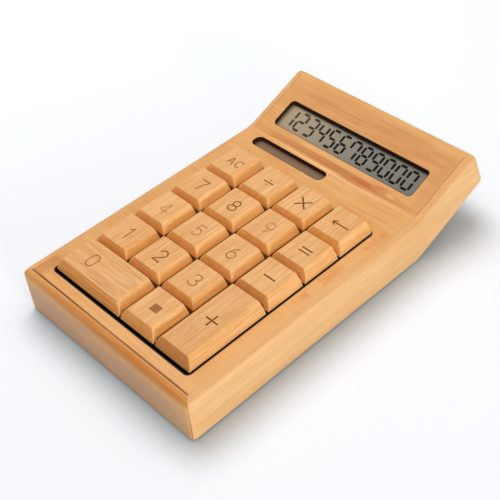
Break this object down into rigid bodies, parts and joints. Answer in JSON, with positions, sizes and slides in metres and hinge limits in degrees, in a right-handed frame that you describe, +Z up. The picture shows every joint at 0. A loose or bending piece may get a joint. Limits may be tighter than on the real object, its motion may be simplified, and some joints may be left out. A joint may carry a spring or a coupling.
{
  "type": "desktop calculator",
  "caption": "Desktop calculator in bamboo: a low panelled case with a raised display head, sprung keys with rounded shoulders, a solar cell in a slot and a twist-off battery cap underneath.",
  "frame": {"origin": "middle of the footprint on the table, at the underside of the feet", "axes": "+X right across the keys, +Y from the front edge towards the display, +Z up"},
  "size_m": [0.106, 0.177, 0.0363],
  "materials": {
    "case_bamboo": "satin lacquered bamboo laminate",
    "key_bamboo": "satin lacquered bamboo",
    "black_plastic": "moulded black plastic",
    "foot_rubber": "matt black",
    "dome_silicone": "grey silicone",
    "board_laminate": "green solder mask",
    "chip_resin": "black potting resin",
    "display_glass": "grey reflective segment display",
    "solar_glass": "brown cell behind glass",
    "ribbon_film": "amber film",
    "red_insulation": "red wire insulation",
    "black_insulation": "black wire insulation",
    "steel": "plated steel"
  },
  "bodies": {
    "case": {"front_panel": "case_bamboo", "back_panel": "case_bamboo", "left_side_panel": "case_bamboo", "right_side_panel": "case_bamboo", "top_panel": "case_bamboo", "base_plate": "case_bamboo", "head_base_plate": "case_bamboo", "key_guide_plate": "black_plastic", "key_membrane": "dome_silicone", "circuit_board": "board_laminate", "driver_chip": "chip_resin", "display_glass": "display_glass", "display_retainer": "black_plastic", "display_ribbon": "ribbon_film", "solar_cell": "solar_glass", "solar_lead_positive": "red_insulation", "solar_lead_negative": "black_insulation", "button_cell": "steel", "battery_holder": "black_plastic", "battery_positive_contact": "steel", "battery_negative_contact": "steel", "foot_front_left": "foot_rubber", "foot_front_right": "foot_rubber", "foot_back_left": "foot_rubber", "foot_back_right": "foot_rubber", "base_screw_1": "steel", "base_screw_2": "steel", "base_screw_3": "steel", "base_screw_4": "steel", "head_base_screw_1": "steel", "head_base_screw_2": "steel", "board_screw_1": "steel", "board_screw_2": "steel", "board_screw_3": "steel", "board_screw_4": "steel", "guide_screw_1": "steel", "guide_screw_2": "steel", "guide_screw_3": "steel", "guide_screw_4": "steel", "retainer_screw_1": "steel", "retainer_screw_2": "steel"},
    "key_0": {"key_0": "key_bamboo"},
    "key_decimal": {"key_decimal": "key_bamboo"},
    "key_plus": {"key_plus": "key_bamboo"},
    "key_1": {"key_1": "key_bamboo"},
    "key_2": {"key_2": "key_bamboo"},
    "key_3": {"key_3": "key_bamboo"},
    "key_4": {"key_4": "key_bamboo"},
    "key_5": {"key_5": "key_bamboo"},
    "key_6": {"key_6": "key_bamboo"},
    "key_minus": {"key_minus": "key_bamboo"},
    "key_7": {"key_7": "key_bamboo"},
    "key_8": {"key_8": "key_bamboo"},
    "key_9": {"key_9": "key_bamboo"},
    "key_equals": {"key_equals": "key_bamboo"},
    "key_clear": {"key_clear": "key_bamboo"},
    "key_divide": {"key_divide": "key_bamboo"},
    "key_multiply": {"key_multiply": "key_bamboo"},
    "key_backspace": {"key_backspace": "key_bamboo"},
    "battery_cap": {"battery_cap": "black_plastic"}
  },
  "joints": [
    {"name": "key_0_press", "type": "slide", "parent": "case", "child": "key_0", "axis": [0, 0, -1], "range_m": [0, 0.0012], "stiffness_N_per_m": 500, "springref_m": -0.0004, "deforming": ["key_membrane"]},
    {"name": "key_decimal_press", "type": "slide", "parent": "case", "child": "key_decimal", "axis": [0, 0, -1], "range_m": [0, 0.0012], "stiffness_N_per_m": 500, "springref_m": -0.0004, "deforming": ["key_membrane"]},
    {"name": "key_plus_press", "type": "slide", "parent": "case", "child": "key_plus", "axis": [0, 0, -1], "range_m": [0, 0.0012], "stiffness_N_per_m": 500, "springref_m": -0.0004, "deforming": ["key_membrane"]},
    {"name": "key_1_press", "type": "slide", "parent": "case", "child": "key_1", "axis": [0, 0, -1], "range_m": [0, 0.0012], "stiffness_N_per_m": 500, "springref_m": -0.0004, "deforming": ["key_membrane"]},
    {"name": "key_2_press", "type": "slide", "parent": "case", "child": "key_2", "axis": [0, 0, -1], "range_m": [0, 0.0012], "stiffness_N_per_m": 500, "springref_m": -0.0004, "deforming": ["key_membrane"]},
    {"name": "key_3_press", "type": "slide", "parent": "case", "child": "key_3", "axis": [0, 0, -1], "range_m": [0, 0.0012], "stiffness_N_per_m": 500, "springref_m": -0.0004, "deforming": ["key_membrane"]},
    {"name": "key_4_press", "type": "slide", "parent": "case", "child": "key_4", "axis": [0, 0, -1], "range_m": [0, 0.0012], "stiffness_N_per_m": 500, "springref_m": -0.0004, "deforming": ["key_membrane"]},
    {"name": "key_5_press", "type": "slide", "parent": "case", "child": "key_5", "axis": [0, 0, -1], "range_m": [0, 0.0012], "stiffness_N_per_m": 500, "springref_m": -0.0004, "deforming": ["key_membrane"]},
    {"name": "key_6_press", "type": "slide", "parent": "case", "child": "key_6", "axis": [0, 0, -1], "range_m": [0, 0.0012], "stiffness_N_per_m": 500, "springref_m": -0.0004, "deforming": ["key_membrane"]},
    {"name": "key_minus_press", "type": "slide", "parent": "case", "child": "key_minus", "axis": [0, 0, -1], "range_m": [0, 0.0012], "stiffness_N_per_m": 500, "springref_m": -0.0004, "deforming": ["key_membrane"]},
    {"name": "key_7_press", "type": "slide", "parent": "case", "child": "key_7", "axis": [0, 0, -1], "range_m": [0, 0.0012], "stiffness_N_per_m": 500, "springref_m": -0.0004, "deforming": ["key_membrane"]},
    {"name": "key_8_press", "type": "slide", "parent": "case", "child": "key_8", "axis": [0, 0, -1], "range_m": [0, 0.0012], "stiffness_N_per_m": 500, "springref_m": -0.0004, "deforming": ["key_membrane"]},
    {"name": "key_9_press", "type": "slide", "parent": "case", "child": "key_9", "axis": [0, 0, -1], "range_m": [0, 0.0012], "stiffness_N_per_m": 500, "springref_m": -0.0004, "deforming": ["key_membrane"]},
    {"name": "key_equals_press", "type": "slide", "parent": "case", "child": "key_equals", "axis": [0, 0, -1], "range_m": [0, 0.0012], "stiffness_N_per_m": 500, "springref_m": -0.0004, "deforming": ["key_membrane"]},
    {"name": "key_clear_press", "type": "slide", "parent": "case", "child": "key_clear", "axis": [0, 0, -1], "range_m": [0, 0.0012], "stiffness_N_per_m": 500, "springref_m": -0.0004, "deforming": ["key_membrane"]},
    {"name": "key_divide_press", "type": "slide", "parent": "case", "child": "key_divide", "axis": [0, 0, -1], "range_m": [0, 0.0012], "stiffness_N_per_m": 500, "springref_m": -0.0004, "deforming": ["key_membrane"]},
    {"name": "key_multiply_press", "type": "slide", "parent": "case", "child": "key_multiply", "axis": [0, 0, -1], "range_m": [0, 0.0012], "stiffness_N_per_m": 500, "springref_m": -0.0004, "deforming": ["key_membrane"]},
    {"name": "key_backspace_press", "type": "slide", "parent": "case", "child": "key_backspace", "axis": [0, 0, -1], "range_m": [0, 0.0012], "stiffness_N_per_m": 500, "springref_m": -0.0004, "deforming": ["key_membrane"]},
    {"name": "battery_cap_turn", "type": "hinge", "parent": "case", "child": "battery_cap", "pos_m": [0.01065, 0.01558, 0.001], "axis": [0, 0, -1], "range_deg": [0, 60]}
  ]
}
